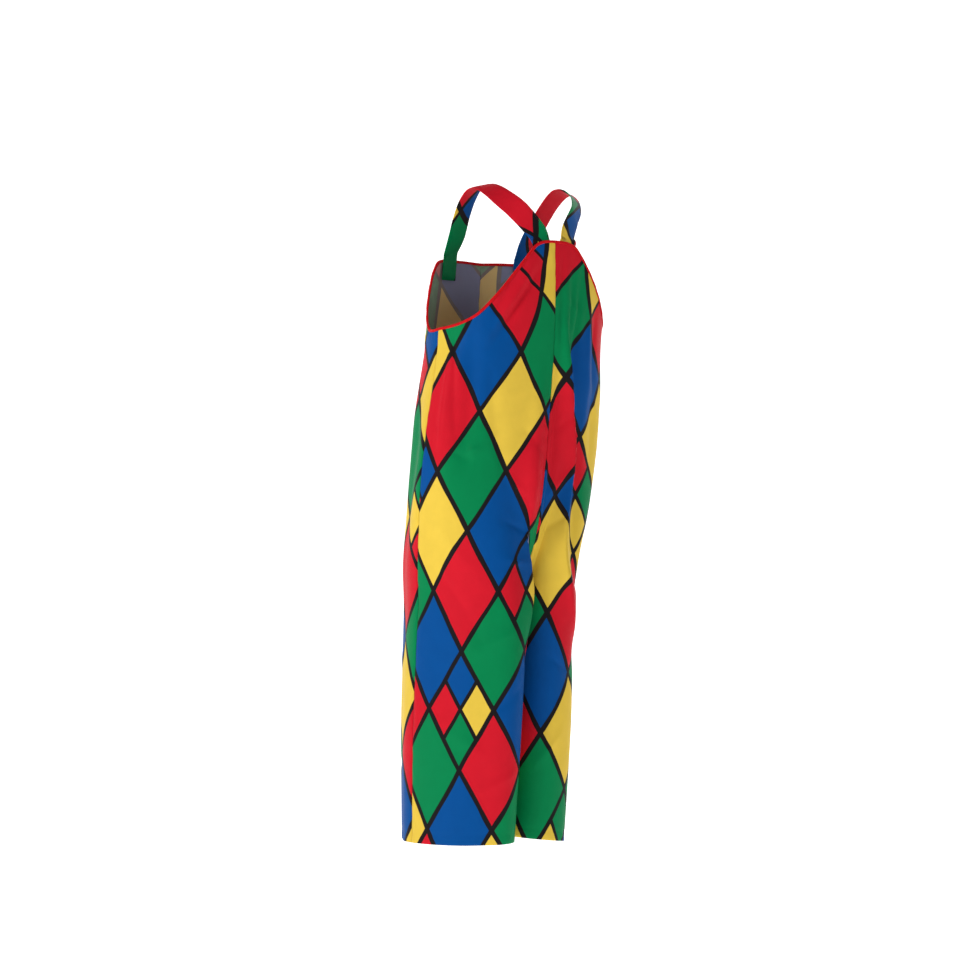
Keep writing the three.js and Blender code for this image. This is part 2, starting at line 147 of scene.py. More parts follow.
# Smaller creases of the cloth. A crease runs from one end to the other, each end
# given by its place round the half and its drop; then its half width in millimetres and height.
CREASES = [
    ("left", 0.02, 112, 0.25, 285, 10, -5),
    ("left", 0.06, 112, 0.32, 300, 12, 4),
    ("left", 0.39, 246, 0.335, 430, 8, -3.6),
    ("left", 0.42, 250, 0.4, 480, 9, 3),
    ("left", 0.23, 300, 0.14, 520, 14, -3.8),
    ("right", 0.032, 112, 0.028, 330, 6, -3.4),
    ("right", 0.075, 118, 0.06, 300, 6, -4),
    ("right", 0.115, 132, 0.1, 330, 7, -4),
    ("right", 0.15, 150, 0.17, 400, 10, 3.4),
    ("right", 0.2, 190, 0.24, 470, 11, -3.6),
    ("left", 0.24, 440, 0.31, 452, 7, 2.4),
    ("left", 0.27, 462, 0.35, 446, 9, -2),
    ("left", 0.13, 131, 0.25, 245, 9, -1.8),
    ("left", 0.18, 158, 0.33, 283, 13, 1.6),
    ("left", 0.3, 219, 0.42, 313, 10, -1.6),
    ("left", 0.43, 245, 0.36, 355, 9, 1.4),
    ("left", 0.02, 453, 0.1, 403, 8, -2.1),
    ("left", 0.03, 543, 0.16, 483, 10, 2.2),
    ("left", 0.05, 593, 0.22, 558, 8, -2.4),
    ("left", 0.08, 633, 0.27, 623, 9, 2.5),
    ("left", 0.44, 543, 0.31, 673, 12, 2.1),
    ("left", 0.46, 623, 0.3, 783, 10, -2.4),
    ("left", 0.2, 743, 0.42, 803, 12, 2.1),
    ("left", 0.15, 833, 0.3, 888, 9, -2.1),
    ("left", 0.44, 883, 0.26, 968, 12, 2.1),
    ("left", 0.12, 963, 0.33, 1023, 10, 1.8),
    ("right", 0.02, 173, 0.14, 233, 9, 1.4),
    ("right", 0.03, 413, 0.1, 363, 7, -2),
    ("right", 0.03, 523, 0.12, 473, 8, 2.2),
    ("right", 0.06, 583, 0.18, 543, 8, -2.1),
    ("right", 0.14, 303, 0.3, 413, 10, 2.2),
    ("right", 0.2, 643, 0.36, 723, 10, 2.2),
    ("right", 0.12, 783, 0.3, 833, 9, -2),
    ("right", 0.25, 913, 0.1, 983, 9, 2.1),
    ("right", 0.4, 683, 0.26, 843, 12, -2.2),
    ("left", 0.97, 543, 0.86, 483, 9, 2.5),
    ("left", 0.96, 603, 0.8, 573, 9, -2.7),
    ("left", 0.92, 643, 0.75, 633, 10, 2.5),
    ("left", 0.6, 283, 0.76, 223, 10, 1.6),
    ("left", 0.62, 803, 0.85, 763, 12, 2.2),
    ("left", 0.6, 963, 0.82, 1023, 11, -2.1),
    ("right", 0.97, 523, 0.85, 463, 9, -2.5),
    ("right", 0.96, 593, 0.79, 553, 9, 2.7),
    ("right", 0.9, 633, 0.74, 623, 10, -2.4),
    ("right", 0.6, 293, 0.78, 213, 10, -1.6),
    ("right", 0.63, 773, 0.86, 813, 12, 2.2),
    ("right", 0.62, 993, 0.8, 933, 11, 2.1),
]

# The middle line of the left strap between its sewn ends
STRAP = [
    # x, y, z, and the way the outer face looks
    (37, 73, -74, 0.3, 1, 0.15),
    (62, 60, -43, 0.54, 0.84, 0.12),
    (79, 43, -23, 0.5, 0.75, 0.42),
    (88, 22, -7, 0.42, 0.48, 0.8),
    (91, 0, 1, 0.25, 0, 1),
    (92, -20, -3, 0.2, -0.45, 1),
    (90, -42, -21, 0.12, -1, 0.8),
    (86, -63, -48, 0.08, -1, 0.55),
    (80, -84, -80, 0.05, -1, 0.4),
]
# The sewn ends of a strap, inside a panel: place round, drop, lean in degrees
STRAP_BACK = [(0.0435, 127, 6), (0.045, 115, 12), (0.05, 103, 21), (0.058, 91, 30)]
STRAP_FRONT = [(0.845, 109, 0), (0.845, 123, 0), (0.845, 137, 0), (0.845, 151, 0)]


def smooth(places, values):
    """A smooth function through the given places."""
    xs = np.array(places, float)
    vs = np.array(values, float)
    last = len(xs) - 1
    before = np.maximum(np.arange(last + 1) - 1, 0)
    after = np.minimum(np.arange(last + 1) + 1, last)
    slopes = (vs[after] - vs[before]) / (xs[after] - xs[before])

    def function(at):
        x = np.clip(at, xs[0], xs[-1])
        i = np.clip(np.searchsorted(xs, x, side="left") - 1, 0, last - 1)
        step = xs[i + 1] - xs[i]
        t = (x - xs[i]) / step
        start = (1 + 2 * t) * (1 - t) ** 2 * vs[i]
        end = t * t * (3 - 2 * t) * vs[i + 1]
        bend = t * (1 - t) * step * ((1 - t) * slopes[i] - t * slopes[i + 1])
        return start + end + bend

    return function


def columns(rows, names):
    """A smooth function of the drop for each named column of a table."""
    drops = [row[0] for row in rows]
    return {name: smooth(drops, [row[i + 1] for row in rows]) for i, name in enumerate(names)}


body = columns(BODY, BODY_COLUMNS)
legs = {"left": columns(LEFT_LEG, LEG_COLUMNS), "right": columns(RIGHT_LEG, LEG_COLUMNS)}
back_edge = smooth([r[0] for r in BACK_EDGE], [r[1] for r in BACK_EDGE])
front_edge = smooth([r[0] for r in FRONT_EDGE], [r[1] for r in FRONT_EDGE])


def easing(value, low, high):
    """0 below low and 1 above high, with a soft start and end."""
    share = np.clip((value - low) / (high - low), 0, 1)
    return share * share * (3 - 2 * share)


def lerp(start, end, share):
    """The value a share of the way from start to end."""
    return start + (end - start) * share


def bell(away, reach):
    """1 at no distance, fading to nothing some way past the reach."""
    return np.exp(-((away / reach) ** 2))


def fold_height(half, rounds, drops):
    """Height of the large folds; they die away at the middle seams, which both halves share."""
    height = np.zeros_like(drops)
    for owner, start, end, span, lift, top, bottom, fade, power in FOLDS:
        if owner != half:
            continue
        share = np.clip((drops - top) / (bottom - top), 0, 1)
        offset = np.abs(rounds - lerp(start, end, share**FOLD_BEND)) / span
        fade_out = 1 if bottom >= HEM_DROP else 1 - easing(drops, bottom - fade, bottom)
        height = height + lift * np.exp(-offset**power) * easing(drops, top, top + fade) * fade_out
    return height * easing(np.minimum(rounds, 1 - rounds), 0, SEAM_HOLD)


def outer_point(half, rounds, drops, folded=True):
    """Points of the outer face, as arrays of x, y and z."""
    side = SIDES[half]
    angle = math.pi * rounds
    square = 1 + body["square"](drops) * np.sin(2 * angle) ** 2
    depth = np.where(rounds < 0.5, body["back"](drops), body["front"](drops))
    lift = fold_height(half, rounds, drops) if folded else 0 * drops
    x = (body[half](drops) + lift) * np.sin(angle) * square
    y = (depth + lift) * np.cos(angle) * square
    share = np.clip((drops - CROTCH_DROP + RISE) / RISE, 0, 1)
    leg = legs[half]
    from_middle = np.minimum(rounds, 1 - rounds)
    near_seam = 1 - easing(from_middle, 0, SEAM_ZONE)
    lifted = lift * (1 - near_seam)
    wide = leg["wide"](drops)
    leg_x = leg["apart"](drops) + wide - (wide + lifted) * np.cos(2 * angle)
    leg_y = (leg["deep"](drops) + lifted) * np.sin(2 * angle) + leg["skew"](drops) * np.cos(2 * angle)
    gentle = share * share * (3 - 2 * share)
    weight = lerp(gentle, share**SEAM_POWER, near_seam)
    x = lerp(x, np.maximum(leg_x, MIDDLE_CLEARANCE), weight)
    y = lerp(y, leg_y, weight)
    turn = np.radians(body["turn"](drops))
    return np.stack([
        side * x * np.cos(turn) + y * np.sin(turn) + body["x"](drops),
        y * np.cos(turn) - side * x * np.sin(turn) + body["y"](drops),
        -drops,
    ], axis=-1)


def unit(vectors):
    """The vectors at length 1."""
    return vectors / np.maximum(np.linalg.norm(vectors, axis=-1, keepdims=True), 1e-9)


def outward_at(half, rounds, drops):
    """The way the outer face looks at each point."""
    before = np.maximum(rounds - ROUND_STEP, 0)
    after = np.minimum(rounds + ROUND_STEP, 1)
    across = outer_point(half, after, drops) - outer_point(half, before, drops)
    down = outer_point(half, rounds, drops + DROP_STEP) - outer_point(half, rounds, drops - DROP_STEP)
    outward = unit(np.cross(across, down)) * SIDES[half]
    turn = np.radians(body["turn"](drops))
    sideways = np.stack([np.cos(turn), -np.sin(turn), 0 * turn], axis=-1)
    at_middle = (np.minimum(rounds, 1 - rounds) < 2 * SEAM_EDGE) & (drops <= CROTCH_DROP)
    part = np.sum(outward * sideways, axis=-1) * at_middle
    return unit(outward - sideways * part[..., None])


# A crease bows by a share of its length, fades towards its ends and swells along its way.
CREASE_BOW = 0.06
CREASE_FADE = 0.8
CREASE_SWELL = 0.3
CREASE_WAVES = 9
CREASE_POWER = 1.7


def crease_height(half, rounds, drops):
    """The smaller creases: each is a long low ridge or groove that fades at both ends."""
    height = np.zeros_like(drops)
    along_u = rounds * ROUND_LENGTH
    for number, (owner, r0, d0, r1, d1, width, lift) in enumerate(CREASES):
        if owner != half:
            continue
        start = np.array([r0 * ROUND_LENGTH, d0])
        run = np.array([r1 * ROUND_LENGTH, d1]) - start
        length = np.hypot(*run)
        run = run / length
        s = ((along_u - start[0]) * run[0] + (drops - start[1]) * run[1]) / length
        bow = CREASE_BOW * length * (1 if number % 2 else -1) * (s - s * s)
        across = (along_u - start[0]) * run[1] - (drops - start[1]) * run[0] + bow
        fade = np.sin(np.pi * np.clip(s, 0, 1)) ** CREASE_FADE
        swell = 1 + CREASE_SWELL * np.sin(CREASE_WAVES * s + number)
        height = height + lift * fade * np.exp(-np.abs(across / (width * swell)) ** CREASE_POWER)
    return height


def hem_drop(half, rounds):
    """The drop of the lower edge, from the inner to the outer side of a leg."""
    inner, outer = HEMS[half]
    return lerp(inner, outer, 0.5 - 0.5 * np.cos(2 * np.pi * rounds))


# Heights and reaches in millimetres of what the sewing does to the cloth. The wave lengths of the
# ripples are unequal, so that no pattern repeats.
SEAM_SINK, SEAM_SINK_REACH = 0.9, 2.6
PUCKER, PUCKER_REACH = 0.35, 9
HEM_GROOVE, HEM_GROOVE_REACH = 0.9, 1.7
HEM_RIPPLE, HEM_RIPPLE_REACH = 0.5, 8
HEM_RIPPLE_PLACE = 0.55  # share of the hem's depth at which it ripples most
EDGE_RIPPLE, EDGE_RIPPLE_REACH, EDGE_RIPPLE_DROP = 0.3, 7, 9
WAVE_STARTS = {"left": 1.3, "right": 4.1}  # so that the halves don't pucker alike


def seam_height(half, rounds, drops, top):
    """Seams sink a little and pucker; the hem shows its line of stitching and ripples."""
    height = np.zeros_like(drops)
    shift = WAVE_STARTS[half]
    pucker = np.sin(drops / 5.1 + 2.2 * np.sin(drops / 37 + shift)) * np.sin(drops / 43 + shift)
    for seam in (0, 0.5, 1):
        away = np.abs(rounds - seam) * ROUND_LENGTH
        height -= SEAM_SINK * bell(away, SEAM_SINK_REACH)
        height += PUCKER * pucker * bell(away, PUCKER_REACH)
    from_hem = hem_drop(half, rounds) - drops
    height -= HEM_GROOVE * bell(from_hem - HEM_DEPTH, HEM_GROOVE_REACH)
    ripple = np.sin(rounds * 190 + from_hem / 6 + shift) * np.sin(rounds * 61 + shift)
    height += HEM_RIPPLE * ripple * bell(from_hem - HEM_DEPTH * HEM_RIPPLE_PLACE, HEM_RIPPLE_REACH)
    below_edge = drops - top
    ripple = np.sin(rounds * 230 + shift)
    height += EDGE_RIPPLE * ripple * bell(below_edge - EDGE_RIPPLE_DROP, EDGE_RIPPLE_REACH)
    return height


def panel_grid(half, side, across, down):
    """Places of a panel's points round and down, with the drop of the edge above each."""
    shares = 0.5 * (np.arange(across + 1) / across) ** COLUMN_BUNCHING
    rounds = np.clip(shares, SEAM_EDGE, 0.5 - SEAM_EDGE)
    if side == "front":
        rounds = 1 - rounds
    top = back_edge(rounds) if side == "back" else front_edge(rounds)
    share = np.arange(down + 1)[:, None] / down
    upper = top + (CHEST_DROP - top) * np.clip(share / UPPER_SHARE, 0, 1)
    lower_share = np.clip((share - UPPER_SHARE) / (1 - UPPER_SHARE), 0, 1)
    drops = upper + (hem_drop(half, rounds) - CHEST_DROP) * lower_share
    return np.broadcast_to(rounds, drops.shape).copy(), drops, np.broadcast_to(top, drops.shape)


def mesh_object(name, vertices, faces, uvs, materials, slots=None):
    """A smooth-shaded object from points in millimetres; uvs holds one pair for each vertex."""
    mesh = bpy.data.meshes.new(name)
    mesh.from_pydata((np.asarray(vertices) / 1000).tolist(), [], faces)
    for material in materials:
        mesh.materials.append(material)
    mesh.polygons.foreach_set("use_smooth", [True] * len(mesh.polygons))
    if slots is not None:
        mesh.polygons.foreach_set("material_index", slots)
    if uvs is not None:
        layer = mesh.uv_layers.new(name="cloth")
        corners = np.zeros(len(mesh.loops), int)
        mesh.loops.foreach_get("vertex_index", corners)
        layer.data.foreach_set("uv", np.asarray(uvs)[corners].ravel())
    mesh.update()
    obj = bpy.data.objects.new(name, mesh)
    bpy.context.scene.collection.objects.link(obj)
    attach(obj, "root")
    return obj


def shell(name, outer, inner, uv, materials, flip):
    """A closed thin shell between two grids of points, its outer face first."""
    rows, wide = outer.shape[:2]
    index = np.arange(2 * rows * wide).reshape(2, rows, wide)

    def quads(a, b, c, d):
        stack = np.stack([a, b, c, d], axis=-1).reshape(-1, 4)
        return stack[:, ::-1] if flip else stack

    front = quads(index[0, :-1, :-1], index[0, :-1, 1:], index[0, 1:, 1:], index[0, 1:, :-1])
    back = quads(index[1, :-1, :-1], index[1, 1:, :-1], index[1, 1:, 1:], index[1, :-1, 1:])
    sides = [
        quads(index[0, :-1, 0], index[0, 1:, 0], index[1, 1:, 0], index[1, :-1, 0]),
        quads(index[0, :-1, -1], index[1, :-1, -1], index[1, 1:, -1], index[0, 1:, -1]),
        quads(index[0, 0, :-1], index[1, 0, :-1], index[1, 0, 1:], index[0, 0, 1:]),
        quads(index[0, -1, :-1], index[0, -1, 1:], index[1, -1, 1:], index[1, -1, :-1]),
    ]
    faces = np.concatenate([front, back, *sides]).tolist()
    slots = [0] * len(front) + [1] * len(back) + [0] * (len(faces) - len(front) - len(back))
    vertices = np.concatenate([outer.reshape(-1, 3), inner.reshape(-1, 3)])
    uvs = np.concatenate([uv.reshape(-1, 2), uv.reshape(-1, 2)])
    return mesh_object(name, vertices, faces, uvs, materials, slots)


def arc_lengths(points):
    """Lengths along each row of a grid of points, from its first column."""
    steps = np.linalg.norm(np.diff(points, axis=1), axis=-1)
    return np.concatenate([np.zeros((points.shape[0], 1)), np.cumsum(steps, axis=1)], axis=1)


def panel_surface(half, side, rounds, drops, top):
    """The outer face of the cloth with its creases, and the way it looks."""
    outward = outward_at(half, rounds, drops)
    height = crease_height(half, rounds, drops) + seam_height(half, rounds, drops, top)
    return outer_point(half, rounds, drops) + outward * height[..., None], outward


def make_panel(half, side, print_shift):
    """One panel of the garment; gives the piece, its area in square metres, its width and length."""
    rounds, drops, top = panel_grid(half, side, ACROSS, DOWN)
    outer, outward = panel_surface(half, side, rounds, drops, top)
    from_hem = hem_drop(half, rounds) - drops
    hem = 1 - easing(from_hem, HEM_DEPTH, HEM_DEPTH + 1)
    wall = CLOTH + HEM_EXTRA * hem
    inner = outer - outward * wall[..., None]
    plain = outer_point(half, rounds, drops, folded=False)
    arcs = arc_lengths(plain)
    from_side_seam = arcs[:, -1:] - arcs
    leftwards = (half == "left") == (side == "back")
    sign = -1 if leftwards else 1
    uv = np.stack([sign * from_side_seam, -drops], axis=-1) / 1000 + np.array(print_shift)
    piece = shell(f"{half}_{side}_cloth", outer, inner, uv, [cloth_face, cloth_reverse], not leftwards)
    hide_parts(f"{half}_{side}")
    width, length = float(np.max(from_side_seam)) / 1000, float(np.ptp(drops)) / 1000
    return piece, mesh_area(outer), width, length


def mesh_area(grid):
    """Area of a grid of points, in square metres."""
    a = grid[1:, :-1] - grid[:-1, :-1]
    b = grid[:-1, 1:] - grid[:-1, :-1]
    return float(np.sum(np.linalg.norm(np.cross(a, b), axis=-1))) / 1e6


def sewn_rows(half, rows, across):
    """Cross rows of a strap's sewn end, inside the panel, with the way that each point looks."""
    towards_side = 1 if rows[0][0] < 0.5 else -1
    places = []
    for place, drop, lean in rows:
        one = np.array([place])
        at = np.array([float(drop)])
        step = outer_point(half, one + ROUND_STEP, at) - outer_point(half, one - ROUND_STEP, at)
        per_round = np.linalg.norm(step) / (2 * ROUND_STEP)
        tilt = math.radians(lean)
        spots = place + towards_side * across * math.cos(tilt) / per_round
        drops = drop + across * math.sin(tilt)
        outward = outward_at(half, spots, drops)
        centre = outer_point(half, spots, drops) - outward * (STRAP_INSET + STRAP_CLOTH / 2)
        places.append((centre, outward))
    return places


def catmull_rom(points, share):
    """A point of the smooth line through the given points, share running over all of them."""
    spans = len(points) - 1
    i = min(int(share * spans), spans - 1)
    t = share * spans - i
    p1, p2 = points[i], points[i + 1]
    p0 = points[i - 1] if i > 0 else 2 * p1 - p2
    p3 = points[i + 2] if i + 2 <= spans else 2 * p2 - p1
    return 0.5 * (2 * p1 + (p2 - p0) * t + (2 * p0 - 5 * p1 + 4 * p2 - p3) * t * t
                  + (3 * p1 - p0 - 3 * p2 + p3) * t**3)


def turned(vector, degrees):
    """A vector turned about the upright axis, the same way as the body's sections."""
    angle = math.radians(-degrees)
    x, y, z = vector
    return np.array([x * math.cos(angle) - y * math.sin(angle),
                     x * math.sin(angle) + y * math.cos(angle), z])


def free_rows(half, back_end, front_end, across):
    """Cross rows of a strap between its sewn ends, with the way that each looks."""
    side = SIDES[half]
    turn = BODY[0][3]
    line, looks = [back_end[0]], [back_end[1]]
    for x, y, z, nx, ny, nz in STRAP:
        line.append(turned((side * x, y, z), turn))
        looks.append(unit(turned((side * nx, ny, nz), turn)))
    line.append(front_end[0])
    looks.append(front_end[1])
    spans = len(line) - 1
    rows = []
    for i in range(1, STRAP_CELLS):
        share = i / STRAP_CELLS
        along = unit(catmull_rom(line, share + STRAP_STEP) - catmull_rom(line, share - STRAP_STEP))
        k = min(int(share * spans), spans - 1)
        look = lerp(looks[k], looks[k + 1], share * spans - k)
        sideways = unit(np.cross(look, along)) * side
        look = unit(np.cross(along, sideways)) * side
        centre = catmull_rom(line, share) + across[:, None] * sideways
        rows.append((centre, np.broadcast_to(look, (len(across), 3))))
    return rows


# A strap thins at its edges, is drawn in along its stitching and waves a little where it is free. Its
# stitching lies at a share of the half width, and its wave grows over two lengths from the ends.
STRAP_EDGE_THIN = 0.55
STRAP_SEAM_PLACE, STRAP_SEAM_REACH, STRAP_SEAM_SINK = 0.84, 0.035, 0.28
STRAP_WAVE = 0.5
FREE_FROM_BACK, FREE_FROM_FRONT = (60, 90), (80, 110)
STRAP_SEAM_COLUMN = 2  # the column of points under the stitching, from either edge


def make_strap(half, print_shift):
    """One strap; gives the piece, its two stitched rows, the way its points look and its length."""
    across = np.linspace(-STRAP_WIDTH / 2, STRAP_WIDTH / 2, STRAP_COLUMNS)
    middle = STRAP_COLUMNS // 2
    back_rows = sewn_rows(half, STRAP_BACK, across)
    front_rows = sewn_rows(half, STRAP_FRONT, across)
    back_end = [values[middle] for values in back_rows[-1]]
    front_end = [values[middle] for values in front_rows[0]]
    rows = back_rows + free_rows(half, back_end, front_end, across) + front_rows
    centres, outwards = (np.array([row[i] for row in rows]) for i in (0, 1))
    lengths = arc_lengths(centres.transpose(1, 0, 2)).T
    edge = np.abs(across) / (STRAP_WIDTH / 2)
    half_wall = STRAP_CLOTH / 2 * (1 - STRAP_EDGE_THIN * edge**8)
    half_wall = half_wall - STRAP_SEAM_SINK * bell(edge - STRAP_SEAM_PLACE, STRAP_SEAM_REACH)
    sag = STRAP_WAVE * np.sin(lengths / 11 + SIDES[half]) * np.sin(lengths / 37) * (1 - edge**2)
    to_front = lengths[-1, middle] - lengths
    free = easing(lengths, *FREE_FROM_BACK) * easing(to_front, *FREE_FROM_FRONT)
    lift = (sag * free)[..., None] * outwards
    outer = centres + outwards * half_wall[:, None] + lift
    inner = centres - outwards * half_wall[:, None] + lift
    uv = np.stack([np.broadcast_to(across, lengths.shape), lengths], axis=-1) / 1000
    uv = uv + np.array(print_shift)
    piece = shell(f"{half}_strap_cloth", outer, inner, uv, [cloth_face, cloth_face], half == "left")
    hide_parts(f"{half}_strap")
    stitched = [outer[:, STRAP_SEAM_COLUMN], outer[:, -1 - STRAP_SEAM_COLUMN]]
    return piece, stitched, outwards, float(lengths[-1, middle]) / 1000


def edge_stations(side):
    """Places along the upper edges, from the left side seam to the right one."""
    result = []
    for half in SIDES:
        rounds, drops, top = panel_grid(half, side, BINDING_CELLS, DOWN)
        outer, outward = panel_surface(half, side, rounds[:3], drops[:3], top[:3])
        rows = [outer[0], unit(outer[1] - outer[0]), outward[0]]
        result.append([row[::-1] if half == "left" else row for row in rows])
    return [np.concatenate([left, right]) for left, right in zip(*result)]


def tape_profile():
    """Outer and inner outline of the folded tape: depth behind the cloth's face, reach down from its edge."""
    low, stitched, upper = BINDING_DEPTH, 0.65 * BINDING_DEPTH, 0.35 * BINDING_DEPTH
    outer = [(-1.0, low), (-1.12, stitched), (-1.05, upper), (-1.15, 0.4), (-0.85, -0.5),
             (0.0, -1.0), (0.8, -1.1), (1.6, -1.0), (2.45, -0.5), (2.7, 0.4), (2.65, upper),
             (2.7, stitched), (2.6, low)]
    inner = [(-0.3, low), (-0.32, stitched), (-0.3, upper), (-0.32, 0.4), (-0.25, 0.0),
             (0.0, -0.28), (0.8, -0.3), (1.6, -0.28), (1.85, 0.0), (1.9, 0.4), (1.9, upper),
             (1.92, stitched), (1.9, low)]
    return outer, inner


TAPE_PUFF = 0.18  # height of the tape's small waves
TAPE_WAVE = 4.3
TAPE_TURN_DEPTH = 0.8  # the middle of the tape's fold, behind the cloth's face
TAPE_POINT_SPACE = 1.2  # about the distance between the outline's points, for the weave


def make_binding(side):
    """The folded tape round an upper edge; gives the piece, its stitched line, its looks and length."""
    edge, inwards, outward = edge_stations(side)
    along = unit(np.gradient(edge, axis=0))
    slant = np.linalg.norm(np.cross(along, inwards), axis=-1)[:, None]
    length = np.concatenate([[0], np.cumsum(np.linalg.norm(np.diff(edge, axis=0), axis=-1))])
    bulge = np.sin(length / TAPE_WAVE)[:, None]

    def sweep(outline, puff):
        points = []
        for depth, reach in outline:
            lift = puff * bulge * (1 if depth < TAPE_TURN_DEPTH else -1)
            points.append(edge - outward * (depth - lift) + inwards * reach / slant)
        return np.stack(points, axis=1)

    outer_outline, inner_outline = tape_profile()
    outer = sweep(outer_outline, TAPE_PUFF)
    inner = sweep(inner_outline, 0)
    shape = outer.shape[:2]
    girth = np.arange(shape[1]) * TAPE_POINT_SPACE
    uv = np.stack([np.broadcast_to(length[:, None], shape), np.broadcast_to(girth, shape)], axis=-1) / 1000
    piece = shell(f"{side}_binding_tape", outer, inner, uv, [tape, tape], side == "front")
    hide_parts(f"{side}_binding")
    return piece, outer[:, 1], outward, float(length[-1]) / 1000


STITCH = 2.7  # length of a stitch
STITCH_GAP = 1.1
STITCH_RADIUS = 0.33
FIRST_STITCH = 0.6
SPINDLE = np.array([[0, 1, 2], [0, 2, 3], [0, 3, 4], [0, 4, 1], [5, 2, 1], [5, 3, 2], [5, 4, 3], [5, 1, 4]])


def stitch_line(points, looks):
    """Small spindle-shaped stitches laid along a line of points, as vertices and faces."""
    steps = np.linalg.norm(np.diff(points, axis=0), axis=-1)
    length = np.concatenate([[0], np.cumsum(steps)])
    starts = np.arange(FIRST_STITCH, length[-1] - STITCH, STITCH + STITCH_GAP)

    def at(places, values):
        return np.stack([np.interp(places, length, values[:, i]) for i in range(3)], axis=-1)

    a = at(starts, points)
    b = at(starts + STITCH, points)
    look = unit(at(starts + STITCH / 2, looks))
    middle = at(starts + STITCH / 2, points) + look * STITCH_RADIUS * 0.5
    sideways = unit(np.cross(b - a, look)) * STITCH_RADIUS
    up = look * STITCH_RADIUS
    vertices = np.stack([a, middle + sideways, middle + up, middle - sideways, middle - up, b], axis=1)
    base = np.arange(len(starts))[:, None, None] * vertices.shape[1]
    return vertices.reshape(-1, 3), (base + SPINDLE[None]).reshape(-1, 3)


def make_stitches(name, lines, material):
    """One piece of all the stitches along some lines, each given as points and their looks."""
    vertices, faces, count = [], [], 0
    for points, looks in lines:
        v, f = stitch_line(points, looks)
        vertices.append(v)
        faces.append(f + count)
        count += len(v)
    piece = mesh_object(name, np.concatenate(vertices), np.concatenate(faces).tolist(), None, [material])
    return piece


class Graph:
    """Short names for building a material's nodes."""

    def __init__(self, name):
        self.material = bpy.data.materials.new(name)
        self.material.use_nodes = True
        self.tree = self.material.node_tree
        self.shader = self.tree.nodes["Principled BSDF"]

    def node(self, kind, **settings):
        """A new node with the given settings."""
        made = self.tree.nodes.new(kind)
        for key, value in settings.items():
            setattr(made, key, value)
        return made

    def put(self, socket, value):
        """A link into a socket, or a plain value in it."""
        if isinstance(value, bpy.types.NodeSocket):
            self.tree.links.new(value, socket)
        else:
            socket.default_value = value

    def math(self, operation, *values):
        """The result of one operation on sockets or numbers."""
        made = self.node("ShaderNodeMath", operation=operation)
        for socket, value in zip(made.inputs, values):
            self.put(socket, value)
        return made.outputs[0]

    def mix(self, share, first, second):
        """A colour between the first, at share 0, and the second, at share 1."""
        made = self.node("ShaderNodeMix", data_type="RGBA")
        self.put(made.inputs["Factor"], share)
        self.put(made.inputs["A"], first)
        self.put(made.inputs["B"], second)
        return made.outputs["Result"]

    def noise(self, vector, scale, detail):
        """A noise node whose grains are about 1 / scale metres wide."""
        made = self.node("ShaderNodeTexNoise", noise_dimensions="3D")
        self.put(made.inputs["Vector"], vector)
        made.inputs["Scale"].default_value = scale
        made.inputs["Detail"].default_value = detail
        return made

    def band(self, value, low, high):
        """0 above high and 1 below low."""
        made = self.node("ShaderNodeMapRange", interpolation_type="SMOOTHSTEP")
        self.put(made.inputs["Value"], value)
        made.inputs["From Min"].default_value = low
        made.inputs["From Max"].default_value = high
        made.inputs["To Min"].default_value = 1
        made.inputs["To Max"].default_value = 0
        return made.outputs[0]


def linear(red, green, blue):
    """A colour as linear light, given in display values of 0 to 255."""
    def one(value):
        value = value / 255
        return value / 12.92 if value <= 0.04045 else ((value + 0.055) / 1.055) ** 2.4
    return (one(red), one(green), one(blue), 1)


RED = linear(212, 24, 42)
YELLOW = linear(234, 198, 72)
GREEN = linear(0, 132, 76)
BLUE = linear(0, 78, 150)
OUTLINE = linear(28, 24, 26)
TAPE_RED = linear(214, 16, 26)
PALE = linear(236, 226, 222)

# The print, in metres of cloth
LOZENGE_WIDTH = 0.118
LOZENGE_HEIGHT = 0.2
OUTLINE_HALF = 0.004
OUTLINE_SOFT = 0.0003
OUTLINE_WAVER = 0.0022
SPLIT_SHARE = 0.22  # share of the lozenges that are split in four
SPLIT_THINNER = 0.0008  # the lines inside a split lozenge are thinner by this on each side
HAND_WOBBLE = 0.012
TONE = 0.12  # how far the dye's uneven tone darkens the cloth


